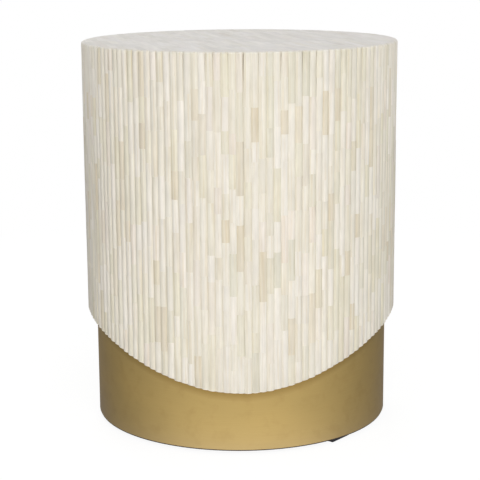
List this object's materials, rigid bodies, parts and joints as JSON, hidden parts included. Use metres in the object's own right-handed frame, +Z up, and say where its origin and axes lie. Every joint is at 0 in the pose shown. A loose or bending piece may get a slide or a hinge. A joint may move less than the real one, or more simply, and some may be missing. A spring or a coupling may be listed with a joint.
{
  "type": "side table",
  "caption": "Round drum side table clad in round-faced bone strips, with a strip-laid top, a wavy hem and a recessed satin brass plinth on rubber pads.",
  "frame": {"origin": "on the floor under the drum's axis", "axes": "+Z up, -Y towards the front, where the hem is at its lowest, +X to the right seen from the front"},
  "size_m": [0.4188, 0.419, 0.51],
  "materials": {
    "bone_reeds": "satin polish",
    "bone_top": "gloss polish",
    "plywood": "raw",
    "fibreboard": "raw",
    "softwood": "raw",
    "brass_sheet": "satin",
    "steel": "zinc plated",
    "pad_rubber": "matt moulded"
  },
  "bodies": {
    "root": {"reeds_front": "bone_reeds", "reeds_right": "bone_reeds", "reeds_back": "bone_reeds", "reeds_left": "bone_reeds", "top_strips": "bone_top", "outer_shell": "plywood", "core_drum": "plywood", "top_board": "fibreboard", "base_board": "fibreboard", "base_ring": "plywood", "middle_ring": "plywood", "top_ring": "plywood", "brass_skirt": "brass_sheet", "skirt_pins": "brass_sheet", "top_screws": "steel", "base_screws": "steel", "core_screws": "steel", "batten_1": "softwood", "batten_2": "softwood", "batten_3": "softwood", "batten_4": "softwood", "batten_5": "softwood", "batten_6": "softwood", "foot_pad_1": "pad_rubber", "foot_pad_2": "pad_rubber", "foot_pad_3": "pad_rubber"}
  },
  "joints": []
}
